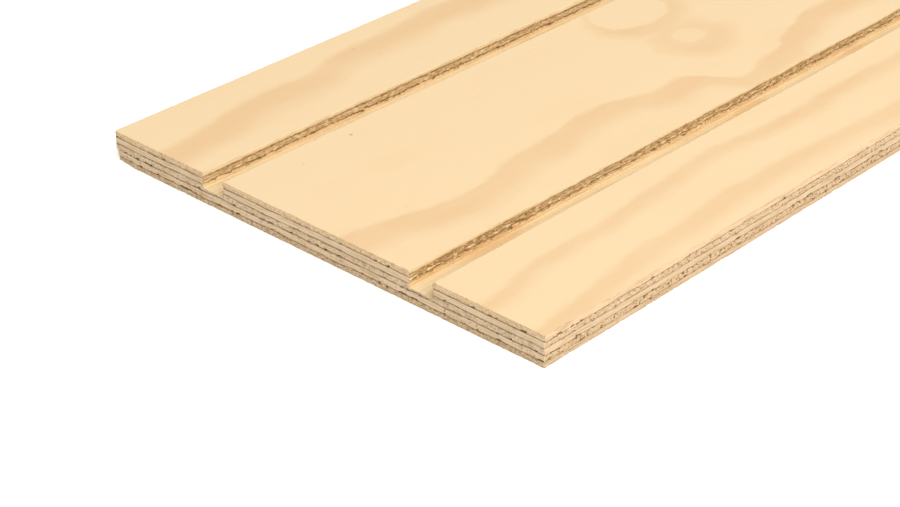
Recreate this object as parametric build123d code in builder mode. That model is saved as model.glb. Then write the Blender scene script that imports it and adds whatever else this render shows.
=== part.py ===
from build123d import *
import os

# Grooved pine plywood: five rotary-cut veneers glued together, each with its grain
# across the one below, and flat-bottomed grooves cut along the face.
# X runs across the sheet, Y along the grain of the face, Z up from the underside.
# The origin is at the middle of the underside, and all sizes are in millimetres.

sheet_length = 600.0

# Veneers, from the face down
face_thickness = 2.2
upper_cross_thickness = 2.5
centre_thickness = 2.5
lower_cross_thickness = 2.6
back_thickness = 2.2

# Grooves: they go right through the face and upper cross veneers
groove_count = 2
groove_pitch = 100.0
groove_width = 10.0
groove_bite = 1.3  # how far the cutter goes on into the centre veneer
groove_floor_radius = 0.4  # left along the floor by the worn tips of the cutter
edge_strip_width = 48.0  # from an outer groove to the long edge of the sheet

# Broken edges
face_arris = 0.3
back_arris = 0.3
corner_radius = 0.5
worn_corner_radius = 1.5  # the front left corner, knocked in handling

# Height of the underside of each veneer
lower_cross_base = back_thickness
centre_base = lower_cross_base + lower_cross_thickness
upper_cross_base = centre_base + centre_thickness
face_base = upper_cross_base + upper_cross_thickness

# Widths across the sheet
inner_strip_width = groove_pitch - groove_width
sheet_width = 2 * edge_strip_width + (groove_count - 1) * groove_pitch + groove_width

# The strips between the grooves, from the left edge: the middle and width of each
edge_strip_middle = (sheet_width - edge_strip_width) / 2
inner_strips = [
    ((place + 1 - groove_count / 2) * groove_pitch, inner_strip_width)
    for place in range(groove_count - 1)
]
strips = [
    (-edge_strip_middle, edge_strip_width),
    *inner_strips,
    (edge_strip_middle, edge_strip_width),
]

os.makedirs("parts", exist_ok=True)

# The sheet seen from above, which every veneer is trimmed to
with BuildSketch() as outline:
    Rectangle(sheet_width, sheet_length)
    corners = outline.vertices().sort_by(lambda corner: corner.X + corner.Y)
    fillet(corners[1:], radius=corner_radius)
    front_left = outline.vertices().sort_by(lambda corner: corner.X + corner.Y)[0]
    fillet(front_left, radius=worn_corner_radius)

# Back veneer, grain along the sheet, with its lower edges broken
with BuildPart() as back_veneer:
    add(outline.sketch)
    extrude(amount=back_thickness)
    fillet(back_veneer.faces().sort_by(Axis.Z)[0].edges(), radius=back_arris)
back_veneer.part.label = "back_veneer"
export_step(back_veneer.part, "parts/back_veneer.step")

# Lower cross veneer, grain across the sheet
with BuildPart() as lower_cross_veneer:
    with BuildSketch(Plane.XY.offset(lower_cross_base)):
        add(outline.sketch)
    extrude(amount=lower_cross_thickness)
lower_cross_veneer.part.label = "lower_cross_veneer"
export_step(lower_cross_veneer.part, "parts/lower_cross_veneer.step")

# Centre veneer, grain along the sheet: it carries the floors of the grooves
with BuildPart() as centre_veneer:
    with BuildSketch(Plane.XY.offset(centre_base)):
        add(outline.sketch)
    extrude(amount=centre_thickness)
    with BuildSketch(Plane.XY.offset(upper_cross_base)):
        with GridLocations(groove_pitch, 0, groove_count, 1):
            Rectangle(groove_width, sheet_length)
    extrude(amount=-groove_bite, mode=Mode.SUBTRACT)
    floor_edges = centre_veneer.edges().filter_by(Axis.Y).group_by(Axis.Z)[1]
    fillet(floor_edges, radius=groove_floor_radius)
centre_veneer.part.label = "centre_veneer"
export_step(centre_veneer.part, "parts/centre_veneer.step")

# The grooves part the two upper veneers into strips, numbered from the left edge
for number, (strip_middle, strip_width) in enumerate(strips, start=1):
    with BuildPart() as upper_cross_veneer:
        with BuildSketch(Plane.XY.offset(upper_cross_base)):
            add(outline.sketch)
            with Locations((strip_middle, 0)):
                Rectangle(strip_width, sheet_length, mode=Mode.INTERSECT)
        extrude(amount=upper_cross_thickness)
    upper_cross_name = f"upper_cross_veneer_{number}"
    upper_cross_veneer.part.label = upper_cross_name
    export_step(upper_cross_veneer.part, f"parts/{upper_cross_name}.step")

    with BuildPart() as face_veneer:
        with BuildSketch(Plane.XY.offset(face_base)):
            add(outline.sketch)
            with Locations((strip_middle, 0)):
                Rectangle(strip_width, sheet_length, mode=Mode.INTERSECT)
        extrude(amount=face_thickness)
        fillet(face_veneer.faces().sort_by(Axis.Z)[-1].edges(), radius=face_arris)
    face_name = f"face_veneer_{number}"
    face_veneer.part.label = face_name
    export_step(face_veneer.part, f"parts/{face_name}.step")
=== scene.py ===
import math

import bpy
from mathutils import Matrix, Vector


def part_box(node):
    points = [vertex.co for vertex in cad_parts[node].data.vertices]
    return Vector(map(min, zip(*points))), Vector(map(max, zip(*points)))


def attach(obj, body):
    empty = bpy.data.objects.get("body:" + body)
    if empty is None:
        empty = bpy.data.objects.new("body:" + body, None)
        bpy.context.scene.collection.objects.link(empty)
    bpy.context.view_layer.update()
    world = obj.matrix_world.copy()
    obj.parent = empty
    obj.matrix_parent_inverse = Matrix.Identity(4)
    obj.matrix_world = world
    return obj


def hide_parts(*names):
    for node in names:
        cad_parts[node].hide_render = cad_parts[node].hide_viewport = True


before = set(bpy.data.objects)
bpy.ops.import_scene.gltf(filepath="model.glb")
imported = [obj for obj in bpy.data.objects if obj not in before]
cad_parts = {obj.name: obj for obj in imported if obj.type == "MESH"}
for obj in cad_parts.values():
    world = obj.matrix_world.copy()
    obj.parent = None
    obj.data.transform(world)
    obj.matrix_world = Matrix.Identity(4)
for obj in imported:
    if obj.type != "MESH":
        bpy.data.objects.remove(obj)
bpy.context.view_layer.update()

mm = 0.001  # everything below is in millimetres until a mesh is written


def nodeBox(node):
    low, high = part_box(node)
    return [c / mm for c in low], [c / mm for c in high]


stripCount = sum(name.startswith("face_veneer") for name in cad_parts)
backLow, backHigh = nodeBox("back_veneer")
sheet = {
    "left": backLow[0],
    "right": backHigh[0],
    "front": backLow[1],
    "rear": backHigh[1],
    "top": nodeBox("face_veneer_1")[1][2],
    "cornerRadius": 0.5,
    "wornCornerRadius": 1.5,  # the front left corner
    "wornCornerReach": 12.0,  # how far from that corner its wear can be seen
    "arris": 0.3,
    "grooveBite": 1.3,  # of the cutter into the centre veneer
    "step": 0.6,  # between points along an edge
    "rowStep": 0.42,  # between rows of points up an edge
}
sheetWidth = sheet["right"] - sheet["left"]
sheetLength = sheet["rear"] - sheet["front"]
strips = [
    (nodeBox(f"face_veneer_{n}")[0][0], nodeBox(f"face_veneer_{n}")[1][0])
    for n in range(1, stripCount + 1)
]
grooves = [(strips[n][1], strips[n + 1][0]) for n in range(stripCount - 1)]
floorHeight = nodeBox("centre_veneer")[1][2] - sheet["grooveBite"]


# Camera: it stands off the near right corner, looking down on the sheet

view = {
    "beyondRightEdge": 377.0,
    "beforeFrontEnd": 460.9,
    "aboveFloor": 384.6,
    "azimuth": 42.16,
    "elevation": 29.98,
    "roll": 0.54,
    "lens": 90.28,
    "sensorWidth": 36.0,
    "nearest": 10.0,
}
camera = bpy.data.objects.new("camera", bpy.data.cameras.new("camera"))
camera.data.lens = view["lens"]
camera.data.sensor_width = view["sensorWidth"]
camera.data.clip_start = view["nearest"] * mm
cameraPlace = (
    (sheet["right"] + view["beyondRightEdge"]) * mm,
    (sheet["front"] - view["beforeFrontEnd"]) * mm,
    view["aboveFloor"] * mm,
)
camera.matrix_world = (
    Matrix.Translation(cameraPlace)
    @ Matrix.Rotation(math.radians(view["azimuth"]), 4, "Z")
    @ Matrix.Rotation(math.radians(90 - view["elevation"]), 4, "X")
    @ Matrix.Rotation(math.radians(view["roll"]), 4, "Z")
)
bpy.context.scene.collection.objects.link(camera)
bpy.context.scene.camera = camera
print("camera placed")


# Nodes and colours

def linear(hexColor):
    parts = [int(hexColor[i : i + 2], 16) / 255 for i in (1, 3, 5)]
    return [p / 12.92 if p < 0.04045 else ((p + 0.055) / 1.055) ** 2.4 for p in parts] + [1.0]


def addNode(tree, kind, inputs=(), **settings):
    # inputs: values, sockets or nodes, in a list by place or a dictionary by name
    node = tree.nodes.new(kind)
    for name, value in settings.items():
        setattr(node, name, value)
    usable = [socket for socket in node.inputs if socket.enabled]
    if isinstance(inputs, dict):
        pairs = [(next(s for s in usable if s.name == key), v) for key, v in inputs.items()]
    else:
        pairs = list(zip(usable, inputs))
    for socket, value in pairs:
        if isinstance(value, bpy.types.Node):
            value = next(s for s in value.outputs if s.enabled)
        if isinstance(value, bpy.types.NodeSocket):
            tree.links.new(value, socket)
        elif value is not None:
            socket.default_value = value
    return node


def newMaterial(name):
    material = bpy.data.materials.new(name)
    material.use_nodes = True
    material.node_tree.nodes.clear()
    return material, material.node_tree


def placeInMm(tree):
    place = addNode(tree, "ShaderNodeTexCoord").outputs["Object"]
    return addNode(tree, "ShaderNodeVectorMath", [place, (1 / mm,) * 3], operation="MULTIPLY")


# A pattern is noise. size: how big its spots are in x, y and z, in mm. shows: from which value of
# the noise it starts to show, and from which it is full. Seeds only keep patterns apart.

def woodPattern(tree, place, pattern, seed=0):
    seed += pattern["seed"]
    spots = addNode(tree, "ShaderNodeVectorMath",
                    [place, [1 / s for s in pattern["size"]], (seed, seed * 1.7, 0.4)],
                    operation="MULTIPLY_ADD")
    return addNode(tree, "ShaderNodeTexNoise",
                   {"Vector": spots, "Scale": 1.0, "Detail": pattern["detail"], "Roughness": 0.55})


def patternAmount(tree, place, pattern, seed, none, full, **settings):
    noise = woodPattern(tree, place, pattern, seed)
    return addNode(tree, "ShaderNodeMapRange", [noise, *pattern["shows"], none, full], **settings)


def fromFrontLeft(tree, place):
    return addNode(tree, "ShaderNodeVectorMath", [place, (sheet["left"], sheet["front"], 0)],
                   operation="SUBTRACT")


def ovalDistance(tree, place, y, x, halfLength, halfWidth):
    # 0 at the middle of an oval and 1 on its edge; y runs along the sheet
    away = addNode(tree, "ShaderNodeVectorMath", [place, (x, y, 0)], operation="SUBTRACT")
    oval = addNode(tree, "ShaderNodeVectorMath", [away, (1 / halfWidth, 1 / halfLength, 0)],
                   operation="MULTIPLY")
    return addNode(tree, "ShaderNodeVectorMath", [oval], operation="LENGTH")


def finishWood(tree, color, roughness, height, relief):
    # raw, unsealed softwood: dull, with relief from height, whose full range is relief in mm
    bump = addNode(tree, "ShaderNodeBump", {"Strength": 1.0, "Distance": relief * mm, "Height": height})
    shader = addNode(
        tree,
        "ShaderNodeBsdfPrincipled",
        {"Base Color": color, "Roughness": roughness, "IOR": 1.5, "Normal": bump},
    )
    shader.inputs["Specular IOR Level"].default_value = 0.2
    addNode(tree, "ShaderNodeOutputMaterial", {"Surface": shader})


# The figure of a rotary-cut face: latewood bands, each sharp along one edge and
# fading away from it. Edges are (along, across) in mm from the front left corner.
# A band rises over "rise", holds for "hold" and is gone "gone" mm past its edge.

figureLook = {
    "wander": 4.4,  # mm that the edge of a band strays sideways, slowly
    "fray": 2.8,  # and finely
    "drift": 9.0,  # mm that it strays along the grain
    "patchiness": (0.78, 1.06),  # how strong a band is, at its weakest and strongest
    "fibre": 0.09,  # what fine fibres add to or take from the latewood
    "tone": 0.16,  # and slow changes of tone
    "speck": "#6e4a2c",
    "speckHalfLength": 0.9,
    "speckHalfWidth": 0.35,
    "speckFade": (0.5, 1.2),  # times these sizes, where a speck starts to fade and is gone
    "roughness": 0.62,
    "relief": 0.03,
}
figurePatterns = {
    "wander": {"size": (9, 20, 9), "seed": 0, "detail": 2.0},
    "fray": {"size": (1.8, 9, 1.8), "seed": 4, "detail": 2.0},
    "drift": {"size": (11, 14, 11), "seed": 8, "detail": 2.0},
    "patches": {"size": (24, 50, 24), "seed": 12, "detail": 2.0, "shows": (0.35, 0.65)},
    # single fibres are too fine to show, so these are about ten times as wide
    "fibre": {"size": (0.45, 14, 0.45), "seed": 16, "detail": 3.0, "shows": (0.3, 0.7)},
    "tone": {"size": (24, 60, 24), "seed": 20, "detail": 3.0, "shows": (0.3, 0.7)},
}
faceFigure = {
    "earlywood": "#fbddaf",
    "latewood": "#f3cc9a",
    "seed": 2.7,
    "bands": [
        {
            "edge": [(0, 25), (25, 22), (45, 18), (65, 17), (85, 17), (98, 13), (125, 11), (140, 10.5),
                     (155, 9), (175, 10), (215, 16), (260, 24), (310, 20), (370, 14), (430, 17),
                     (500, 27), (560, 24), (600, 20)],
            "rise": 6.0, "hold": 6.0, "gone": 21.0, "strength": 1.05,
        },
        {
            "edge": [(0, 116), (12, 117), (38, 123.5), (48, 125), (65, 124), (78, 120), (88, 118.5),
                     (98, 119), (120, 115.5), (130, 115), (142, 116), (152, 120), (165, 123),
                     (178, 122.5), (184, 127), (190, 135), (197, 139), (212, 135.5), (228, 134),
                     (233, 130), (250, 125), (262, 121.5), (280, 121), (320, 128), (370, 124),
                     (420, 111), (470, 108), (530, 119), (600, 115)],
            "rise": 3.6, "hold": 7.0, "gone": 19.0, "strength": 0.95,
        },
        {
            "edge": [(0, 178), (12, 177), (20, 174.5), (48, 172), (75, 171.5), (95, 169.5),
                     (125, 167.5), (150, 168), (185, 171), (215, 169.5), (260, 171), (330, 168),
                     (400, 173), (480, 178), (540, 174), (600, 170)],
            "rise": 4.0, "hold": 2.5, "gone": 11.5, "strength": 0.9,
        },
        {
            "edge": [(0, 201), (12, 199.5), (25, 198), (60, 193), (80, 192), (115, 190), (150, 190),
                     (180, 192), (215, 194), (270, 192), (340, 189), (420, 194), (500, 199),
                     (560, 196), (600, 193)],
            "rise": 4.0, "hold": 4.0, "gone": 14.0, "strength": 0.8,
        },
    ],
    # a swirl over a knot, as ovals: along, across, half length, half width, softness, strength
    "darkShapes": [(212, 74, 29, 23, 0.4, 0.85), (211, 103, 25, 22, 0.5, 0.75)],
    "paleShapes": [(213, 69, 21, 15, 0.16, 1.0), (211, 101.5, 10, 7.5, 0.25, 0.75)],
    # resin specks: along, across, strength
    "specks": [(57, 65, 0.75), (29, 69, 0.2), (32, 117, 0.12), (110, 14, 0.25), (115, 24, 0.2)],
}
backFigure = {
    "earlywood": "#f5d6aa",
    "latewood": "#e9bf8b",
    "seed": 11.3,
    "bands": [
        {"edge": [(0, 12), (90, 20), (180, 13), (290, 26), (410, 18), (520, 24), (600, 15)],
         "rise": 3.0, "hold": 5.0, "gone": 30.0, "strength": 0.9},
        {"edge": [(0, 52), (70, 61), (150, 49), (240, 66), (350, 58), (450, 70), (540, 55), (600, 60)],
         "rise": 2.5, "hold": 3.0, "gone": 31.0, "strength": 1.0},
        {"edge": [(0, 98), (110, 86), (200, 101), (300, 112), (390, 96), (500, 104), (600, 90)],
         "rise": 4.5, "hold": 8.0, "gone": 33.0, "strength": 0.8},
        {"edge": [(0, 150), (80, 141), (190, 152), (310, 147), (430, 158), (530, 149), (600, 155)],
         "rise": 2.5, "hold": 2.0, "gone": 24.0, "strength": 0.95},
        {"edge": [(0, 186), (120, 179), (260, 188), (380, 183), (490, 190), (600, 184)],
         "rise": 4.0, "hold": 2.0, "gone": 15.0, "strength": 0.75},
    ],
    "darkShapes": [(395, 121, 40, 15, 0.5, 0.9), (366, 114, 34, 10, 0.5, 0.8)],
    "paleShapes": [(401, 121, 18, 6, 0.5, 0.75)],
    "specks": [(140, 30, 0.6), (322, 77, 0.3), (505, 131, 0.5)],
}


def addBand(tree, along, across, band):
    # how much latewood one band gives: its edge is a curve along the sheet
    curve = addNode(tree, "ShaderNodeFloatCurve", {"Value": along})
    points = curve.mapping.curves[0].points
    last = len(band["edge"]) - 1
    for n, (y, x) in enumerate(band["edge"]):
        spot = (y / sheetLength, x / sheetWidth)
        if n in (0, last):
            points[0 if n == 0 else -1].location = spot
        else:
            points.new(*spot)
    curve.mapping.update()
    edge = addNode(tree, "ShaderNodeMath", [curve, sheetWidth], operation="MULTIPLY")
    beyond = addNode(tree, "ShaderNodeMath", [across, edge], operation="SUBTRACT")
    rise = addNode(tree, "ShaderNodeMapRange", [beyond, -band["rise"] / 2, band["rise"] / 2, 0.0, 1.0],
                   interpolation_type="SMOOTHSTEP")
    fall = addNode(tree, "ShaderNodeMapRange", [beyond, band["hold"], band["gone"], band["strength"], 0.0],
                   interpolation_type="SMOOTHSTEP")
    return addNode(tree, "ShaderNodeMath", [rise, fall], operation="MULTIPLY")


def makeFigure(name, figure):
    # sanded, rotary-cut radiata pine: soft pinkish bands on honey cream, hardly a grain line
    material, tree = newMaterial(name)
    place = placeInMm(tree)
    seed = figure["seed"]
    fromCorner = fromFrontLeft(tree, place)

    # edges wander slowly and fray finely
    wander, fray, drift = [
        woodPattern(tree, place, figurePatterns[key], seed) for key in ("wander", "fray", "drift")
    ]
    middle = -(figureLook["wander"] + figureLook["fray"]) / 2
    sideways = addNode(tree, "ShaderNodeMath", [wander, figureLook["wander"], middle],
                       operation="MULTIPLY_ADD")
    sideways = addNode(tree, "ShaderNodeMath", [fray, figureLook["fray"], sideways],
                       operation="MULTIPLY_ADD")
    lengthways = addNode(tree, "ShaderNodeMath", [drift, figureLook["drift"], -figureLook["drift"] / 2],
                         operation="MULTIPLY_ADD")
    shift = addNode(tree, "ShaderNodeCombineXYZ", [sideways, lengthways, 0.0])
    warped = addNode(tree, "ShaderNodeVectorMath", [fromCorner, shift], operation="ADD")
    across = addNode(tree, "ShaderNodeSeparateXYZ", [warped]).outputs["X"]
    steady = addNode(tree, "ShaderNodeSeparateXYZ", [fromCorner]).outputs["Y"]
    along = addNode(tree, "ShaderNodeMath", [steady, sheetLength], operation="DIVIDE")

    late = 0.0
    for band in figure["bands"]:
        late = addNode(tree, "ShaderNodeMath", [late, addBand(tree, along, across, band)],
                       operation="MAXIMUM")
    for shapes, joining in (("darkShapes", "MAXIMUM"), ("paleShapes", "MULTIPLY")):
        for y, x, halfLength, halfWidth, softness, strength in figure[shapes]:
            inside, outside = (strength, 0.0) if shapes == "darkShapes" else (1 - strength, 1.0)
            radius = ovalDistance(tree, warped, y, x, halfLength, halfWidth)
            amount = addNode(tree, "ShaderNodeMapRange", [radius, 1 - softness, 1.0, inside, outside],
                             interpolation_type="SMOOTHSTEP")
            late = addNode(tree, "ShaderNodeMath", [late, amount], operation=joining)
    patchy = patternAmount(tree, place, figurePatterns["patches"], seed, *figureLook["patchiness"],
                           interpolation_type="SMOOTHSTEP")
    late = addNode(tree, "ShaderNodeMath", [late, patchy], operation="MULTIPLY")

    # fine fibres and slow changes of tone, both faint
    fibre = woodPattern(tree, place, figurePatterns["fibre"], seed)
    fibreAmount = addNode(
        tree,
        "ShaderNodeMapRange",
        [fibre, *figurePatterns["fibre"]["shows"], -figureLook["fibre"], figureLook["fibre"]],
    )
    toneAmount = patternAmount(tree, place, figurePatterns["tone"], seed,
                               -figureLook["tone"], figureLook["tone"])
    late = addNode(tree, "ShaderNodeMath", [late, fibreAmount], operation="ADD")
    late = addNode(tree, "ShaderNodeMath", [late, toneAmount], operation="ADD", use_clamp=True)
    color = addNode(tree, "ShaderNodeMix",
                    [late, linear(figure["earlywood"]), linear(figure["latewood"])], data_type="RGBA")

    # resin specks, drawn out along the grain
    for y, x, strength in figure["specks"]:
        radius = ovalDistance(tree, fromCorner, y, x, figureLook["speckHalfLength"],
                              figureLook["speckHalfWidth"])
        speck = addNode(tree, "ShaderNodeMapRange", [radius, *figureLook["speckFade"], strength, 0.0])
        color = addNode(tree, "ShaderNodeMix", [speck, color, linear(figureLook["speck"])],
                        data_type="RGBA")
    finishWood(tree, color, figureLook["roughness"], fibre, figureLook["relief"])
    return material


# Cut edges of the veneers. Each ply has one material, which reads these marks on its mesh.

edgeMarks = ("endGrain", "torn", "seam", "arris", "shadedPit", "tear")  # seam: mm from the nearest glue
edgeLook = {
    "checkSpacing": 4.6,  # between the slanting cracks that the peeling knife leaves
    "checkSlope": 0.9,
    "checkJitter": 5.0,  # mm that they stray
    "crackFade": (0.03, 0.2),  # times half their spacing, where a crack starts to fade and is gone
    "crackStrength": 0.4,
    "grimeStrength": 0.6,
    "grimeShows": (0.5, 0.72),
    "stainStrength": 0.3,
    "handling": (0.1, 0.2),  # how much darker the arrises are made: long grain, end grain
    "wallCleanness": 0.7,  # how much less grime and glue shows on a groove wall
    "poreGain": 0.08,  # what the glue adds to the noise beside it, for more pores there
    "poreReach": (0.2, 1.2),  # mm from the glue, where that starts to fade and is gone
    "glueHalfWidth": 0.17,
    "glueUnevenness": (0.3, 1.9),  # times that width, at the thinnest and the thickest
    "glueFade": (0.5, 1.4),  # times its half width there, where a line starts to fade and is gone
    "glue": "#7a5229",
    # painted shade in the hollow of a pit
    "shadedPit": "#583a18",
    "grime": "#90703f",
    "stain": "#bf945b",
    "crack": "#8b6230",
    "resin": "#9c5a38",
    "pore": "#735021",
    "roughness": 0.8,
    "relief": 0.12,
}
edgePatterns = {
    # single fibres are too fine to show, so these streaks are about ten times as wide
    "streaksAlongX": {"size": (14, 0.4, 0.4), "seed": 0, "detail": 3.0},
    "streaksAlongY": {"size": (0.4, 14, 0.4), "seed": 0, "detail": 3.0},
    "specks": {"size": (0.7, 0.7, 0.5), "seed": 3, "detail": 3.0},
    "stains": {"size": (7, 7, 1.6), "seed": 6, "detail": 3.0, "shows": (0.44, 0.7)},
    "resin": {"size": (1.1, 1.1, 0.8), "seed": 9, "detail": 1.0, "shows": (0.66, 0.74)},
    "jitter": {"size": (3, 3, 3), "seed": 12, "detail": 2.0},
    "cracks": {"size": (5, 5, 5), "seed": 15, "detail": 1.0, "shows": (0.5, 0.62)},
    "mottle": {"size": (1.7, 1.7, 1.0), "seed": 21, "detail": 3.0, "shows": (0.5, 0.68)},
    # drawn coarser than the real ones, which wouldn't show
    "pores": {"size": (1.3, 1.3, 0.6), "seed": 24, "detail": 2.0, "shows": (0.6, 0.67)},
    "glue": {"size": (4, 4, 1.5), "seed": 0, "detail": 3.0, "shows": (0.3, 0.7)},
}
# alongX: the grain runs across the sheet. glue: how dark it is on the long grain, on the end grain.
plies = {
    "face": {"alongX": False, "longGrain": "#f5d2a9", "endGrain": "#fbdaae", "fresh": "#ffe5b8",
             "glue": (0.6, 0.8), "speckle": 0.95, "mottle": 0.25, "pores": 0.4, "resin": 0.0,
             "seed": 1.3},
    "upperCross": {"alongX": True, "longGrain": "#f3d9b2", "endGrain": "#e9cba4", "fresh": "#fbdfb0",
                   "glue": (0.8, 0.6), "speckle": 0.9, "mottle": 0.35, "pores": 0.75, "resin": 0.3,
                   "seed": 4.9},
    "centre": {"alongX": False, "longGrain": "#e9cba5", "endGrain": "#f2d7b1", "fresh": "#f5d8a9",
               "glue": (0.5, 0.8), "speckle": 0.8, "mottle": 0.35, "pores": 0.4, "resin": 0.0,
               "seed": 9.2},
    "lowerCross": {"alongX": True, "longGrain": "#f3d8b3", "endGrain": "#e4c69e", "fresh": "#f5d8a9",
                   "glue": (0.8, 0.45), "speckle": 1.0, "mottle": 0.45, "pores": 0.9, "resin": 0.8,
                   "seed": 14.6},
    "back": {"alongX": False, "longGrain": "#dfc29e", "endGrain": "#e9cea8", "fresh": "#f5d8a9",
             "glue": (0.5, 0.8), "speckle": 1.3, "mottle": 0.5, "pores": 0.6, "resin": 0.6,
             "seed": 19.8},
}


def addSawnWood(tree, place, ply, marks):
    # the colour before cracks, tears and glue, and the fine pattern that gives the relief
    seed = ply["seed"]
    endGrain = marks["endGrain"]
    streakPattern = edgePatterns["streaksAlongX" if ply["alongX"] else "streaksAlongY"]
    streaks = woodPattern(tree, place, streakPattern, seed)
    specks = woodPattern(tree, place, edgePatterns["specks"], seed)
    fine = addNode(tree, "ShaderNodeMix", [endGrain, streaks, specks], data_type="FLOAT")
    color = addNode(tree, "ShaderNodeMix",
                    [endGrain, linear(ply["longGrain"]), linear(ply["endGrain"])], data_type="RGBA")
    color = addNode(tree, "ShaderNodeMix", [marks["torn"], color, linear(ply["fresh"])],
                    data_type="RGBA")

    # grime in the streaks and specks, broad stains, and mottling of the end grain
    grimeStrength = edgeLook["grimeStrength"] * ply["speckle"]
    grime = addNode(tree, "ShaderNodeMapRange", [fine, *edgeLook["grimeShows"], 0.0, grimeStrength])
    grime = addNode(tree, "ShaderNodeMath", [grime, marks["sawn"]], operation="MULTIPLY")
    color = addNode(tree, "ShaderNodeMix", [grime, color, linear(edgeLook["grime"])], data_type="RGBA")
    stain = patternAmount(tree, place, edgePatterns["stains"], seed, 0.0, edgeLook["stainStrength"])
    color = addNode(tree, "ShaderNodeMix", [stain, color, linear(edgeLook["stain"])], data_type="RGBA")
    mottle = patternAmount(tree, place, edgePatterns["mottle"], seed, 0.0, ply["mottle"])
    mottle = addNode(tree, "ShaderNodeMath", [mottle, endGrain], operation="MULTIPLY")
    color = addNode(tree, "ShaderNodeMix", [mottle, color, linear(edgeLook["stain"])],
                    data_type="RGBA")

    # pores, more of them near the glue, darker arrises, and spots of resin
    pores = woodPattern(tree, place, edgePatterns["pores"], seed)
    nearGlue = addNode(tree, "ShaderNodeMapRange",
                       [marks["seam"], *edgeLook["poreReach"], edgeLook["poreGain"], 0.0])
    pores = addNode(tree, "ShaderNodeMath", [pores, nearGlue], operation="ADD")
    pores = addNode(tree, "ShaderNodeMapRange",
                    [pores, *edgePatterns["pores"]["shows"], 0.0, ply["pores"]])
    pores = addNode(tree, "ShaderNodeMath", [pores, endGrain], operation="MULTIPLY")
    color = addNode(tree, "ShaderNodeMix", [pores, color, linear(edgeLook["pore"])], data_type="RGBA")
    darkerArris = addNode(tree, "ShaderNodeMapRange", [endGrain, 0.0, 1.0, *edgeLook["handling"]])
    darkerArris = addNode(tree, "ShaderNodeMath", [darkerArris, marks["arris"]], operation="MULTIPLY")
    color = addNode(tree, "ShaderNodeMix", [darkerArris, color, linear(edgeLook["stain"])],
                    data_type="RGBA")
    resin = patternAmount(tree, place, edgePatterns["resin"], seed, 0.0, ply["resin"])
    color = addNode(tree, "ShaderNodeMix", [resin, color, linear(edgeLook["resin"])], data_type="RGBA")
    return color, fine


def addLatheChecks(tree, place, ply, marks, color):
    # short cracks that slant across the end grain
    seed = ply["seed"]
    parts = addNode(tree, "ShaderNodeSeparateXYZ", [place])
    run = parts.outputs["Y" if ply["alongX"] else "X"]
    lean = addNode(tree, "ShaderNodeMath", [parts.outputs["Z"], edgeLook["checkSlope"], run],
                   operation="MULTIPLY_ADD")
    jitter = woodPattern(tree, place, edgePatterns["jitter"], seed)
    lean = addNode(tree, "ShaderNodeMath", [jitter, edgeLook["checkJitter"], lean],
                   operation="MULTIPLY_ADD")
    cycle = addNode(tree, "ShaderNodeMath", [lean, edgeLook["checkSpacing"] / 2], operation="DIVIDE")
    cycle = addNode(tree, "ShaderNodeMath", [cycle, 1.0], operation="PINGPONG")  # 0 on a crack
    crack = addNode(tree, "ShaderNodeMapRange",
                    [cycle, *edgeLook["crackFade"], edgeLook["crackStrength"], 0.0])
    present = patternAmount(tree, place, edgePatterns["cracks"], seed, 0.0, 1.0)
    crack = addNode(tree, "ShaderNodeMath", [crack, present], operation="MULTIPLY")
    crack = addNode(tree, "ShaderNodeMath", [crack, marks["endGrain"]], operation="MULTIPLY")
    return addNode(tree, "ShaderNodeMix", [crack, color, linear(edgeLook["crack"])], data_type="RGBA")


# Torn walls of the grooves: a ragged band of browned fibres between dark lines of painted shade, with pale
# chips.
# Pairs are for smooth and rough stretches, unless a note says otherwise.

tornLook = {
    "foot": (7.7, 8.3),  # heights above the underside: in the first groove, in the last
    "top": (10.4, 11.1),
    "wobble": 1.6,  # how far both stray up and down
    # rough stretches of the last groove: along, half length, strength
    "roughStretches": [(20, 58, 1.0), (188, 80, 0.5), (330, 60, 0.8), (470, 60, 0.5), (570, 45, 0.9)],
    "roughCore": 0.6,  # the share of a stretch that has its full strength
    "chipping": (0.3, 1.0),
    "browning": (-0.05, 0.1),
    "staining": (-0.05, 0.3),  # of the wall above and below the tear
    "stainingAtTear": (0.28, 0.5),
    "stainReach": 1.6,
    "bandEdge": (-0.1, 0.2),  # mm inside the band, where its fibres start to show and are full
    "raggedness": (0.2, 0.85),  # how deep into the tear they lie, at the least and at the most
    "tearDentShade": 0.2,  # what a dent of the tear in the mesh adds to that, as painted shade
    "tearEdgeShadeStrength": (0.8, 0.62),  # how dark the painted shade lines along the tear are: at its foot, at its top
    "tearEdgeShadeHalfWidth": (0.06, 0.42),  # thinnest, thickest
    "tearEdgeShadeFade": (0.5, 1.3),  # times that width, where a line starts to fade and is gone
    # painted shade along the edges of the torn band
    "tearEdgeShade": "#7b5427",
    "stain": "#dba961",
    # how deep into the tear, and its colour there: darker with depth, partly the fibres' own brown and
    # partly painted shade
    "fibres": [(0.15, "#f6dcb0"), (0.42, "#dfc294"), (0.75, "#c09d66"), (1.0, "#8c5d22")],
}
tornPatterns = {
    # the same on both plies, so that the band and its chips run on across the glue line
    "wobble": {"size": (9, 12, 9), "seed": 40, "detail": 4.0},
    "chips": {"size": (2.8, 3.2, 0.8), "seed": 43, "detail": 3.0, "shows": (0.54, 0.62)},
    # different on each ply
    "ragged": {"size": (0.9, 2.0, 0.32), "seed": 18, "detail": 4.0, "shows": (0.3, 0.7)},
    "lineWidth": {"size": (3, 3, 3), "seed": 27, "detail": 4.0, "shows": (0.35, 0.65)},
}


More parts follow.
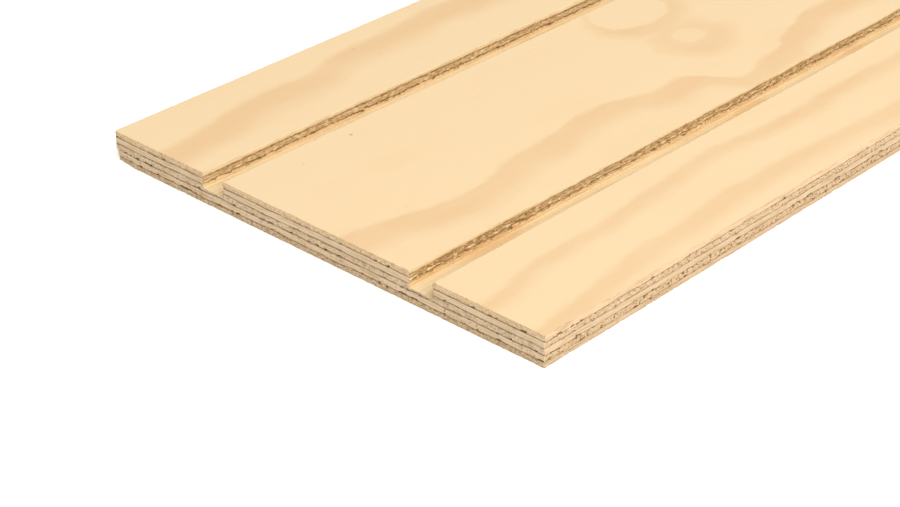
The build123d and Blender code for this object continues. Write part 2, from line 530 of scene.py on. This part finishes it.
def addTornWall(tree, place, ply, marks, color):
    torn = marks["torn"]
    parts = addNode(tree, "ShaderNodeSeparateXYZ", [place])
    isLast = addNode(tree, "ShaderNodeMapRange", [parts.outputs["X"], grooves[0][0], grooves[-1][0]])
    rough = 0.0
    for y, halfLength, strength in tornLook["roughStretches"]:
        away = addNode(tree, "ShaderNodeMath", [parts.outputs["Y"], sheet["front"] + y],
                       operation="SUBTRACT")
        away = addNode(tree, "ShaderNodeMath", [away], operation="ABSOLUTE")
        core = tornLook["roughCore"] * halfLength
        near = addNode(tree, "ShaderNodeMapRange", [away, core, halfLength, strength, 0.0])
        rough = addNode(tree, "ShaderNodeMath", [rough, near], operation="MAXIMUM")
    rough = addNode(tree, "ShaderNodeMath", [rough, isLast], operation="MULTIPLY")
    chipping, browning, farStain, nearStain = [
        addNode(tree, "ShaderNodeMapRange", [rough, 0.0, 1.0, *tornLook[key]])
        for key in ("chipping", "browning", "staining", "stainingAtTear")
    ]

    # how far a point is inside the torn band; outside it this is below 0
    foot = addNode(tree, "ShaderNodeMapRange", [isLast, 0.0, 1.0, *tornLook["foot"]])
    top = addNode(tree, "ShaderNodeMapRange", [isLast, 0.0, 1.0, *tornLook["top"]])
    wobble = woodPattern(tree, place, tornPatterns["wobble"])
    wobble = addNode(tree, "ShaderNodeMath", [wobble, tornLook["wobble"], -tornLook["wobble"] / 2],
                     operation="MULTIPLY_ADD")
    height = addNode(tree, "ShaderNodeMath", [parts.outputs["Z"], wobble], operation="ADD")
    aboveFoot = addNode(tree, "ShaderNodeMath", [height, foot], operation="SUBTRACT")
    belowTop = addNode(tree, "ShaderNodeMath", [top, height], operation="SUBTRACT")
    within = addNode(tree, "ShaderNodeMath", [aboveFoot, belowTop], operation="MINIMUM")

    # fibres, darker where they are torn deeper, partly their own brown and partly painted shade, with pale
    # chips
    frayed = patternAmount(tree, place, tornPatterns["ragged"], ply["seed"], *tornLook["raggedness"])
    chips = patternAmount(tree, place, tornPatterns["chips"], 0, 0.0, 1.0)
    chips = addNode(tree, "ShaderNodeMath", [chips, chipping], operation="MULTIPLY")
    depth = addNode(tree, "ShaderNodeMath", [marks["tear"], tornLook["tearDentShade"], frayed],
                    operation="MULTIPLY_ADD")
    depth = addNode(tree, "ShaderNodeMath", [depth, browning], operation="ADD")
    depth = addNode(tree, "ShaderNodeMath", [depth, chips], operation="SUBTRACT", use_clamp=True)
    fibres = addNode(tree, "ShaderNodeValToRGB", [depth])
    stops = fibres.color_ramp.elements
    for position, _ in tornLook["fibres"][1:-1]:
        stops.new(position)
    for stop, (position, hexColor) in zip(stops, tornLook["fibres"]):
        stop.position = position
        stop.color = linear(hexColor)

    # the stained wall, the torn band over it, and the painted shade lines along the band
    stain = addNode(tree, "ShaderNodeMapRange", [within, -tornLook["stainReach"], 0.0, farStain, nearStain])
    stain = addNode(tree, "ShaderNodeMath", [stain, torn], operation="MULTIPLY", use_clamp=True)
    color = addNode(tree, "ShaderNodeMix", [stain, color, linear(tornLook["stain"])], data_type="RGBA")
    tornHere = addNode(tree, "ShaderNodeMapRange", [within, *tornLook["bandEdge"], 0.0, torn])
    color = addNode(tree, "ShaderNodeMix", [tornHere, color, fibres], data_type="RGBA")
    fromLine = addNode(tree, "ShaderNodeMath", [within], operation="ABSOLUTE")
    lineWidth = patternAmount(tree, place, tornPatterns["lineWidth"], ply["seed"],
                              *tornLook["tearEdgeShadeHalfWidth"])
    # painted shade along both edges of the torn band
    tearEdgeShade = addNode(tree, "ShaderNodeMath", [fromLine, lineWidth], operation="DIVIDE")
    tearEdgeShadeStrength = addNode(tree, "ShaderNodeMapRange", [height, foot, top, *tornLook["tearEdgeShadeStrength"]])
    tearEdgeShade = addNode(tree, "ShaderNodeMapRange", [tearEdgeShade, *tornLook["tearEdgeShadeFade"], tearEdgeShadeStrength, 0.0])
    tearEdgeShade = addNode(tree, "ShaderNodeMath", [tearEdgeShade, torn], operation="MULTIPLY")
    return addNode(tree, "ShaderNodeMix", [tearEdgeShade, color, linear(tornLook["tearEdgeShade"])], data_type="RGBA")


def addGlueLines(tree, place, ply, marks, color):
    # glue lines, wider in some stretches than in others, and open pits, painted dark as shade in their
    # hollows
    width = patternAmount(tree, place, edgePatterns["glue"], ply["seed"], *edgeLook["glueUnevenness"])
    width = addNode(tree, "ShaderNodeMath", [width, edgeLook["glueHalfWidth"]], operation="MULTIPLY")
    reach = addNode(tree, "ShaderNodeMath", [marks["seam"], width], operation="DIVIDE")
    darkness = addNode(tree, "ShaderNodeMapRange", [marks["endGrain"], 0.0, 1.0, *ply["glue"]])
    glue = addNode(tree, "ShaderNodeMapRange", [reach, *edgeLook["glueFade"], darkness, 0.0])
    glue = addNode(tree, "ShaderNodeMath", [glue, marks["sawn"]], operation="MULTIPLY")
    color = addNode(tree, "ShaderNodeMix", [glue, color, linear(edgeLook["glue"])], data_type="RGBA")
    return addNode(tree, "ShaderNodeMix", [marks["shadedPit"], color, linear(edgeLook["shadedPit"])],
                   data_type="RGBA")


def makeCutEdge(name, ply):
    # sawn softwood ply: fine streaks on its long grain, dull specks and slanting cracks on its
    # end grain, brown glue lines, and torn fibres where a groove cuts across its grain
    material, tree = newMaterial(name)
    place = placeInMm(tree)
    marks = {
        mark: addNode(tree, "ShaderNodeAttribute", attribute_name=mark).outputs["Fac"]
        for mark in edgeMarks
    }
    marks["sawn"] = addNode(tree, "ShaderNodeMath", [marks["torn"], -edgeLook["wallCleanness"], 1.0],
                            operation="MULTIPLY_ADD")
    color, fine = addSawnWood(tree, place, ply, marks)
    color = addLatheChecks(tree, place, ply, marks, color)
    color = addTornWall(tree, place, ply, marks, color)
    color = addGlueLines(tree, place, ply, marks, color)
    finishWood(tree, color, edgeLook["roughness"], fine, edgeLook["relief"])
    return material


# Floor of a groove: the centre veneer planed along its grain by the cutter

floorLook = {
    "pale": "#fde5b7",
    "streak": "#e8c084",
    "latewood": "#f2c88c",
    "streakStrength": 0.55,
    "patchStrength": 0.65,
    "patchRaggedness": 0.9,
    "patchFade": (0.4, 1.1),  # times its size, where a patch starts to fade and is gone
    "roughness": 0.6,
    "relief": 0.15,
    # patches of latewood, as ovals: along, across, half length, half width
    "patches": [
        (42, 55, 10, 4), (97, 54, 14, 4), (180, 52, 24, 5), (290, 54, 30, 6), (415, 52, 26, 5),
        (38, 150, 20, 5), (185, 151, 17, 5), (256, 151, 14, 4), (345, 154, 26, 6), (470, 151, 30, 5),
    ],
}
floorPatterns = {
    "streaks": {"size": (0.6, 34, 0.6), "seed": 3.1, "detail": 3.0, "shows": (0.46, 0.66)},
    "ragged": {"size": (2.2, 9, 2.2), "seed": 6.4, "detail": 2.0},
}


def makeGrooveFloor(name, look):
    # freshly milled pine: pale yellow with fine lines along the cut and soft patches of latewood
    material, tree = newMaterial(name)
    place = placeInMm(tree)
    fromCorner = fromFrontLeft(tree, place)
    streaks = woodPattern(tree, place, floorPatterns["streaks"])
    ragged = woodPattern(tree, place, floorPatterns["ragged"])
    ragged = addNode(tree, "ShaderNodeMath",
                     [ragged, look["patchRaggedness"], -look["patchRaggedness"] / 2],
                     operation="MULTIPLY_ADD")
    patches = 0.0
    for y, x, halfLength, halfWidth in look["patches"]:
        radius = ovalDistance(tree, fromCorner, y, x, halfLength, halfWidth)
        radius = addNode(tree, "ShaderNodeMath", [radius, ragged], operation="ADD")
        patch = addNode(tree, "ShaderNodeMapRange", [radius, *look["patchFade"], look["patchStrength"], 0.0],
                        interpolation_type="SMOOTHSTEP")
        patches = addNode(tree, "ShaderNodeMath", [patches, patch], operation="MAXIMUM")
    color = addNode(tree, "ShaderNodeMix", [patches, linear(look["pale"]), linear(look["latewood"])],
                    data_type="RGBA")
    lines = addNode(tree, "ShaderNodeMapRange",
                    [streaks, *floorPatterns["streaks"]["shows"], 0.0, look["streakStrength"]])
    color = addNode(tree, "ShaderNodeMix", [lines, color, linear(look["streak"])], data_type="RGBA")
    finishWood(tree, color, look["roughness"], streaks, look["relief"])
    return material


faceWood = makeFigure("sanded rotary pine face", faceFigure)
backWood = makeFigure("rotary pine back", backFigure)
floorWood = makeGrooveFloor("milled pine groove floor", floorLook)
cutWood = {key: makeCutEdge(f"sawn pine, {key} ply", ply) for key, ply in plies.items()}
print("materials made")


# Meshes. A draft gathers points, shared where patches meet, with marks on each.

pointMarks = ("seam", "endGrain", "torn", "arris")
noGlue = 9.0  # the seam mark of a point that is nowhere near a glue line
placesPerMm = 50  # points that agree to a fiftieth of a mm are one point


def newDraft():
    return {"points": [], "places": {}, "faces": [], "skins": []}


def putPoint(draft, place, inward, **marks):
    key = tuple(round(c * placesPerMm) for c in place)
    if key not in draft["places"]:
        draft["places"][key] = len(draft["points"])
        draft["points"].append({"place": place, "inward": inward, **marks})
    return draft["places"][key]


def putFace(draft, corners, skin):
    # skin: 0 for a cut edge, 1 for a cap or a groove floor
    kept = [c for n, c in enumerate(corners) if c != corners[n - 1]]
    if len(kept) > 2:
        draft["faces"].append(kept)
        draft["skins"].append(skin)


def spread(start, end):
    count = max(1, math.ceil(abs(end - start) / sheet["step"]))
    return [start + (end - start) * n / count for n in range(count + 1)]


def outlinePath(left, right, stops):
    # points round a strip or the sheet, anticlockwise from above, as (x, y, inward, side)
    corners = [  # x, y, way in, rounding
        (left, sheet["front"], (1, 1), sheet["wornCornerRadius"] if left == sheet["left"] else 0),
        (right, sheet["front"], (-1, 1), sheet["cornerRadius"] if right == sheet["right"] else 0),
        (right, sheet["rear"], (-1, -1), sheet["cornerRadius"] if right == sheet["right"] else 0),
        (left, sheet["rear"], (1, -1), sheet["cornerRadius"] if left == sheet["left"] else 0),
    ]
    sides = ["front", "right", "rear", "left"]
    inwards = [(0, 1), (-1, 0), (0, -1), (1, 0)]
    path = []
    for n, side in enumerate(sides):
        x0, y0, in0, radius0 = corners[n]
        x1, y1, _, radius1 = corners[(n + 1) % 4]
        if radius0:
            centre = (x0 + in0[0] * radius0, y0 + in0[1] * radius0)
            startAngle = math.atan2(-in0[1], -in0[0]) - math.pi / 4
            arcSteps = 6
            for k in range(arcSteps + 1):
                angle = startAngle + math.pi / 2 * k / arcSteps
                way = (math.cos(angle), math.sin(angle))
                nearest = side if k > arcSteps / 2 else sides[n - 1]
                path.append((centre[0] + radius0 * way[0], centre[1] + radius0 * way[1],
                             (-way[0], -way[1]), nearest))
        else:
            path.append((x0, y0, in0, side))
        if side in ("front", "rear"):
            xStart = x0 + (radius0 if side == "front" else -radius0)
            xEnd = x1 - (radius1 if side == "front" else -radius1)
            ends = sorted([xStart, *[s for s in stops if left < s < right], xEnd], reverse=side == "rear")
            for a, b in zip(ends, ends[1:]):
                path += [(x, y0, inwards[n], side) for x in spread(a, b)[1:]]
            path.pop()
        else:
            yStart = y0 + (radius0 if side == "right" else -radius0)
            yEnd = y1 - (radius1 if side == "right" else -radius1)
            path += [(x0, y, inwards[n], side) for y in spread(yStart, yEnd)[1:-1]]
    return path


def edgeRows(bottom, top, roundBottom=False, roundTop=False):
    # rows of points up a cut edge, as (height, inset, mm from the glue, arris)
    quarter = [math.pi / 6 * k for k in range(4)]  # the arris is a quarter circle
    rising = [sheet["arris"] * (1 - math.cos(a)) for a in quarter]
    falling = [sheet["arris"] * (1 - math.sin(a)) for a in quarter]
    nearGlue = [0.0, 0.08, 0.22]
    if roundBottom:
        rows = [(bottom + rise, inset, noGlue, 1.0) for rise, inset in zip(rising, falling)]
    else:
        rows = [(bottom + d, 0.0, d, 0.0) for d in nearGlue]
    upper = [top - sheet["arris"]] if roundTop else [top - d for d in reversed(nearGlue)]
    start, end = rows[-1][0], upper[0]
    count = max(1, round((end - start) / sheet["rowStep"]))
    for n in range(1, count):
        height = start + (end - start) * n / count
        fromBottom = noGlue if roundBottom else height - bottom
        fromTop = noGlue if roundTop else top - height
        rows.append((height, 0.0, min(fromBottom, fromTop), 0.0))
    if roundTop:
        rows += [(top - drop, inset, noGlue, 1.0) for drop, inset in zip(falling, rising)]
    else:
        rows += [(height, 0.0, top - height, 0.0) for height in upper]
    return rows


def putRim(draft, path, rows, left, right, alongX):
    rings = []
    for height, inset, seam, arris in rows:
        ring = []
        for x, y, inward, side in path:
            grooveWall = (x == left != sheet["left"]) or (x == right != sheet["right"])
            place = (x + inward[0] * inset, y + inward[1] * inset, height)
            endGrain = float((side in ("left", "right")) == alongX)
            ring.append(putPoint(draft, place, (*inward, 0.0), seam=seam, arris=arris,
                                 endGrain=endGrain, torn=float(grooveWall)))
        rings.append(ring)
    for lower, upper in zip(rings, rings[1:]):
        for n in range(len(path)):
            m = (n + 1) % len(path)
            putFace(draft, [lower[n], lower[m], upper[m], upper[n]], 0)
    return rings


def writeMesh(name, draft):
    points = draft["points"]
    mesh = bpy.data.meshes.new(name)
    mesh.from_pydata([[c * mm for c in point["place"]] for point in points], [], draft["faces"])
    for mark in pointMarks:
        mesh.attributes.new(mark, "FLOAT", "POINT").data.foreach_set("value", [p[mark] for p in points])
    inward = [c for point in points for c in point["inward"]]
    mesh.attributes.new("inward", "FLOAT_VECTOR", "POINT").data.foreach_set("vector", inward)
    mesh.attributes.new("skin", "INT", "FACE").data.foreach_set("value", draft["skins"])
    mesh.polygons.foreach_set("use_smooth", [skin == 0 for skin in draft["skins"]])
    piece = bpy.data.objects.new(name, mesh)
    bpy.context.scene.collection.objects.link(piece)
    return piece


# Relief of the cut edges: one tree, used by every veneer with its own sizes, in mm

reliefSizes = {
    "face": {"Rough Depth": 0.06, "Seam Depth": 0.12, "Waviness": 0.45, "Pit Depth": 0.5, "Pit Share": 0.54,
             "Tear Depth": 0.3, "Tear Reach": 0.9, "Arris Wear": 0.3, "Corner Wear": 0.0, "Seed": 3.0},
    "upperCross": {"Rough Depth": 0.1, "Seam Depth": 0.14, "Waviness": 0.45, "Pit Depth": 0.6,
                   "Pit Share": 0.42, "Tear Depth": 0.45, "Tear Reach": 5.0, "Arris Wear": 0.0,
                   "Corner Wear": 0.0, "Seed": 3.0},
    "centre": {"Rough Depth": 0.06, "Seam Depth": 0.14, "Waviness": 0.45, "Pit Depth": 0.6,
               "Pit Share": 0.56, "Tear Depth": 0.1, "Tear Reach": 0.3, "Arris Wear": 0.0,
               "Corner Wear": 0.0, "Seed": 3.0},
    "lowerCross": {"Rough Depth": 0.12, "Seam Depth": 0.16, "Waviness": 0.45, "Pit Depth": 0.7,
                   "Pit Share": 0.53, "Tear Depth": 0.0, "Tear Reach": 0.3, "Arris Wear": 0.0,
                   "Corner Wear": 0.5, "Seed": 3.0},
    "back": {"Rough Depth": 0.12, "Seam Depth": 0.16, "Waviness": 0.45, "Pit Depth": 0.6,
             "Pit Share": 0.5, "Tear Depth": 0.0, "Tear Reach": 0.3, "Arris Wear": 0.35,
             "Corner Wear": 0.9, "Seed": 3.0},
}
# The same for all veneers, and so is the seed, because neighbours share each dent and pit
reliefLook = {
    "dentReach": 0.3,  # mm from the glue
    "dentUnevenness": (0.3, 1.4),  # times the seam depth, at the shallowest and the deepest
    "pitOpening": 0.7,  # how far a pit share of 1 brings down the noise value where pits open
    "pitSteepness": 16.0,
    "pitReach": (0.2, 0.7),  # mm from the glue, where pits get rarer and where there are none
    "longGrainRoughness": 0.5,  # times the rough depth, and 1 more on end grain
    "waveReach": (0.3, 1.2),  # mm from the glue, where its waving starts to fade and is gone
}
reliefPatterns = {
    "dents": {"size": (5, 5, 5), "seed": 3, "detail": 2.0, "shows": (0.3, 0.7)},
    "pits": {"size": (2.6, 2.6, 1.1), "seed": 17, "detail": 1.0},
    "saw": {"size": (0.8, 0.8, 0.8), "seed": 31, "detail": 2.0},
    "tears": {"size": (1.3, 2.4, 0.8), "seed": 47, "detail": 4.0, "shows": (0.4, 0.6)},
    "chips": {"size": (2.4, 2.4, 2.4), "seed": 59, "detail": 2.0, "shows": (0.5, 0.7)},
    "waves": {"size": (11, 11, 5), "seed": 71, "detail": 1.0},
}


def makeReliefTree():
    tree = bpy.data.node_groups.new("cut edge relief", "GeometryNodeTree")
    tree.interface.new_socket("Geometry", in_out="INPUT", socket_type="NodeSocketGeometry")
    for label in reliefSizes["face"]:
        tree.interface.new_socket(label, in_out="INPUT", socket_type="NodeSocketFloat")
    for label in ("Edge Material", "Cap Material"):
        tree.interface.new_socket(label, in_out="INPUT", socket_type="NodeSocketMaterial")
    tree.interface.new_socket("Geometry", in_out="OUTPUT", socket_type="NodeSocketGeometry")
    given = addNode(tree, "NodeGroupInput").outputs
    seam, endGrain, torn, arris = [
        addNode(tree, "GeometryNodeInputNamedAttribute", {"Name": mark}) for mark in pointMarks
    ]
    inward = addNode(tree, "GeometryNodeInputNamedAttribute", {"Name": "inward"}, data_type="FLOAT_VECTOR")
    skin = addNode(tree, "GeometryNodeInputNamedAttribute", {"Name": "skin"}, data_type="INT")
    place = addNode(tree, "GeometryNodeInputPosition")
    place = addNode(tree, "ShaderNodeVectorMath", [place, (1 / mm,) * 3], operation="MULTIPLY")
    seeded = addNode(tree, "ShaderNodeVectorMath", [place, given["Seed"]], operation="ADD")

    # a dent for the glue line, which opens into pits here and there
    dent = addNode(tree, "ShaderNodeMapRange",
                   [seam, 0.0, reliefLook["dentReach"], given["Seam Depth"], 0.0])
    uneven = patternAmount(tree, seeded, reliefPatterns["dents"], 0, *reliefLook["dentUnevenness"])
    dent = addNode(tree, "ShaderNodeMath", [dent, uneven], operation="MULTIPLY")
    pitFrom = addNode(tree, "ShaderNodeMath", [given["Pit Share"], -reliefLook["pitOpening"], 1.0],
                      operation="MULTIPLY_ADD")
    pitSpots = woodPattern(tree, seeded, reliefPatterns["pits"])
    shadedPit = addNode(tree, "ShaderNodeMath", [pitSpots, pitFrom], operation="SUBTRACT")
    shadedPit = addNode(tree, "ShaderNodeMath", [shadedPit, reliefLook["pitSteepness"]], operation="MULTIPLY")
    nearSeam = addNode(tree, "ShaderNodeMapRange", [seam, *reliefLook["pitReach"], 1.0, 0.0])
    shadedPit = addNode(tree, "ShaderNodeMath", [shadedPit, nearSeam], operation="MULTIPLY")
    shadedPit = addNode(tree, "ShaderNodeClamp", [shadedPit, 0.0, 1.0])
    pitDepth = addNode(tree, "ShaderNodeMath", [shadedPit, given["Pit Depth"]], operation="MULTIPLY")

    # saw marks, a tear in the groove wall, and wear on the arris and at the front left corner
    rough = woodPattern(tree, seeded, reliefPatterns["saw"])
    rough = addNode(tree, "ShaderNodeMath", [rough, given["Rough Depth"]], operation="MULTIPLY")
    rougher = addNode(tree, "ShaderNodeMath", [endGrain, reliefLook["longGrainRoughness"]],
                      operation="ADD")
    rough = addNode(tree, "ShaderNodeMath", [rough, rougher], operation="MULTIPLY")
    tear = patternAmount(tree, seeded, reliefPatterns["tears"], 0, 0.0, 1.0,
                         interpolation_type="SMOOTHSTEP")
    reach = addNode(tree, "ShaderNodeMath", [seam, given["Tear Reach"]], operation="LESS_THAN")
    tear = addNode(tree, "ShaderNodeMath", [tear, torn], operation="MULTIPLY")
    tear = addNode(tree, "ShaderNodeMath", [tear, reach], operation="MULTIPLY")
    tearDepth = addNode(tree, "ShaderNodeMath", [tear, given["Tear Depth"]], operation="MULTIPLY")
    chip = patternAmount(tree, seeded, reliefPatterns["chips"], 0, 0.0, given["Arris Wear"])
    chip = addNode(tree, "ShaderNodeMath", [chip, arris], operation="MULTIPLY")
    level = addNode(tree, "ShaderNodeVectorMath", [fromFrontLeft(tree, place), (1, 1, 0)],
                    operation="MULTIPLY")
    cornerGap = addNode(tree, "ShaderNodeVectorMath", [level], operation="LENGTH")
    worn = addNode(tree, "ShaderNodeMapRange",
                   [cornerGap, sheet["wornCornerRadius"], sheet["wornCornerReach"],
                    given["Corner Wear"], 0.0],
                   interpolation_type="SMOOTHSTEP")

    depth = 0.0
    for share in (dent, pitDepth, rough, tearDepth, chip, worn):
        depth = addNode(tree, "ShaderNodeMath", [depth, share], operation="ADD")
    push = addNode(tree, "ShaderNodeVectorMath", {"Vector": inward, "Scale": depth}, operation="SCALE")

    # glue lines that wave a little up and down
    wave = woodPattern(tree, place, reliefPatterns["waves"])
    wave = addNode(tree, "ShaderNodeMath", [wave, 2.0, -1.0], operation="MULTIPLY_ADD")
    wave = addNode(tree, "ShaderNodeMath", [wave, given["Waviness"]], operation="MULTIPLY")
    nearGlue = addNode(tree, "ShaderNodeMapRange", [seam, *reliefLook["waveReach"], 1.0, 0.0])
    wave = addNode(tree, "ShaderNodeMath", [wave, nearGlue], operation="MULTIPLY")
    lift = addNode(tree, "ShaderNodeCombineXYZ", [0.0, 0.0, wave])
    offset = addNode(tree, "ShaderNodeVectorMath", [push, lift], operation="ADD")
    offset = addNode(tree, "ShaderNodeVectorMath", {"Vector": offset, "Scale": mm}, operation="SCALE")
    # the pits are stored too, for the painted shade that the cut edge material puts in them
    shaped = addNode(tree, "GeometryNodeStoreNamedAttribute",
                     {"Geometry": given["Geometry"], "Name": "shadedPit", "Value": shadedPit}, data_type="FLOAT")
    shaped = addNode(tree, "GeometryNodeStoreNamedAttribute",
                     {"Geometry": shaped, "Name": "tear", "Value": tear}, data_type="FLOAT")
    shaped = addNode(tree, "GeometryNodeSetPosition", {"Geometry": shaped, "Offset": offset})
    shaped = addNode(tree, "GeometryNodeRealizeInstances", {"Geometry": shaped})
    isEdge = addNode(tree, "FunctionNodeCompare", [skin, 0], data_type="INT", operation="EQUAL")
    isCap = addNode(tree, "FunctionNodeCompare", [skin, 1], data_type="INT", operation="EQUAL")
    shaped = addNode(tree, "GeometryNodeSetMaterial", [shaped, isEdge, given["Edge Material"]])
    shaped = addNode(tree, "GeometryNodeSetMaterial", [shaped, isCap, given["Cap Material"]])
    addNode(tree, "NodeGroupOutput", [shaped])
    return tree


reliefTree = makeReliefTree()


def finishVeneer(node, draft, plyName, capWood):
    # relief and materials on the mesh, which then takes the place of its CAD solid
    piece = writeMesh(node + "_wood", draft)
    modifier = piece.modifiers.new("relief", "NODES")
    modifier.node_group = reliefTree
    values = {**reliefSizes[plyName], "Edge Material": cutWood[plyName], "Cap Material": capWood}
    for item in reliefTree.interface.items_tree:
        if item.in_out == "INPUT" and item.name in values:
            modifier[item.identifier] = values[item.name]
    graph = bpy.context.evaluated_depsgraph_get()
    finished = bpy.data.meshes.new_from_object(piece.evaluated_get(graph), depsgraph=graph)
    piece.modifiers.clear()
    piece.data = finished
    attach(piece, "root")
    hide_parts(node)


grooveStops = [edge for groove in grooves for edge in groove]


def makeVeneer(node, plyName, capWood):
    low, high = nodeBox(node)
    draft = newDraft()
    path = outlinePath(low[0], high[0], grooveStops)
    rows = edgeRows(low[2], high[2], roundBottom=plyName == "back", roundTop=plyName == "face")
    rings = putRim(draft, path, rows, low[0], high[0], plies[plyName]["alongX"])
    putFace(draft, rings[0][::-1], 1)
    putFace(draft, rings[-1], 1)
    finishVeneer(node, draft, plyName, capWood)


def makeCentre():
    # the full outline up to the groove floors, then a rim for each strip left between them
    low, high = nodeBox("centre_veneer")
    draft = newDraft()
    rows = edgeRows(low[2], high[2])
    floorRow = (floorHeight, 0.0, noGlue, 0.0)
    clear = 0.15  # rows nearer than this to the groove floors are left out
    lowerRows = [row for row in rows if row[0] < floorHeight - clear] + [floorRow]
    upperRows = [floorRow] + [row for row in rows if row[0] > floorHeight + clear]
    path = outlinePath(low[0], high[0], grooveStops)
    rings = putRim(draft, path, lowerRows, low[0], high[0], False)
    putFace(draft, rings[0][::-1], 1)
    for left, right in strips:
        rings = putRim(draft, outlinePath(left, right, grooveStops), upperRows, left, right, False)
        putFace(draft, rings[-1], 1)
    still = {"inward": (0.0, 0.0, 0.0), "seam": noGlue, "arris": 0.0, "endGrain": 0.0, "torn": 0.0}
    for left, right in grooves:
        grid = [
            [putPoint(draft, (x, y, floorHeight), **still) for x in spread(left, right)]
            for y in spread(sheet["front"], sheet["rear"])
        ]
        for near, far in zip(grid, grid[1:]):
            for n in range(len(near) - 1):
                putFace(draft, [near[n], near[n + 1], far[n + 1], far[n]], 1)
    finishVeneer("centre_veneer", draft, "centre", floorWood)


makeVeneer("back_veneer", "back", backWood)
makeVeneer("lower_cross_veneer", "lowerCross", cutWood["lowerCross"])
makeCentre()
for number in range(1, stripCount + 1):
    makeVeneer(f"upper_cross_veneer_{number}", "upperCross", cutWood["upperCross"])
    makeVeneer(f"face_veneer_{number}", "face", faceWood)
print("veneers made")


# Floor and light

studio = {
    "floorSize": 8.0,
    "floorOverlap": 1.0,  # the floor is open under the sheet, so its underside can be looked at
    "floorColor": "#f4f4f4",
    "floorGlow": 0.45,  # makes the floor white where it is seen, and lights nothing
    "ambient": 0.57,
    "keyPower": 27.0,
    "keySize": 1.8,
    "keyPlace": (1.25, -0.32, 1.4),
}


def seenInPicture(tree):
    # 1 for what the camera sees, straight or by reflection or through glass, and 0 for light
    rays = addNode(tree, "ShaderNodeLightPath").outputs
    seen = addNode(tree, "ShaderNodeMath", [rays["Is Camera Ray"], rays["Is Glossy Ray"]],
                   operation="MAXIMUM")
    return addNode(tree, "ShaderNodeMath", [seen, rays["Is Transmission Ray"]], operation="MAXIMUM")


floorMesh = bpy.data.meshes.new("floor")
half = studio["floorSize"] / 2
under = studio["floorOverlap"]
openingX = ((sheet["left"] + under) * mm, (sheet["right"] - under) * mm)
openingY = ((sheet["front"] + under) * mm, (sheet["rear"] - under) * mm)
floorCorners = [
    (x, y, 0.0)
    for xs, ys in (((-half, half), (-half, half)), (openingX, openingY))
    for x, y in ((xs[0], ys[0]), (xs[1], ys[0]), (xs[1], ys[1]), (xs[0], ys[1]))
]
floorMesh.from_pydata(floorCorners, [], [(0, 1, 5, 4), (1, 2, 6, 5), (2, 3, 7, 6), (3, 0, 4, 7)])
floor = bpy.data.objects.new("floor", floorMesh)
bpy.context.scene.collection.objects.link(floor)
floorPaint, tree = newMaterial("white studio floor")
shader = addNode(tree, "ShaderNodeBsdfDiffuse", {"Color": linear(studio["floorColor"])})
glowing = addNode(tree, "ShaderNodeMath", [seenInPicture(tree), studio["floorGlow"]],
                  operation="MULTIPLY")
glow = addNode(tree, "ShaderNodeEmission", {"Strength": glowing})
both = addNode(tree, "ShaderNodeAddShader", [shader, glow])
addNode(tree, "ShaderNodeOutputMaterial", {"Surface": both})
floorMesh.materials.append(floorPaint)

world = bpy.data.worlds.new("studio")
world.use_nodes = True
bpy.context.scene.world = world
tree = world.node_tree
tree.nodes.clear()
strength = addNode(tree, "ShaderNodeMapRange",
                   {"Value": seenInPicture(tree), "To Min": studio["ambient"], "To Max": 1.0})
sky = addNode(tree, "ShaderNodeBackground", {"Color": (1, 1, 1, 1), "Strength": strength})
addNode(tree, "ShaderNodeOutputWorld", {"Surface": sky})

keyLamp = bpy.data.objects.new("key", bpy.data.lights.new("key", "AREA"))
keyLamp.data.energy = studio["keyPower"]
keyLamp.data.size = studio["keySize"]
keyLamp.location = studio["keyPlace"]
keyLamp.rotation_euler = (-Vector(studio["keyPlace"])).to_track_quat("-Z", "Y").to_euler()
bpy.context.scene.collection.objects.link(keyLamp)

bpy.context.scene.view_settings.view_transform = "Standard"
print("studio lit")
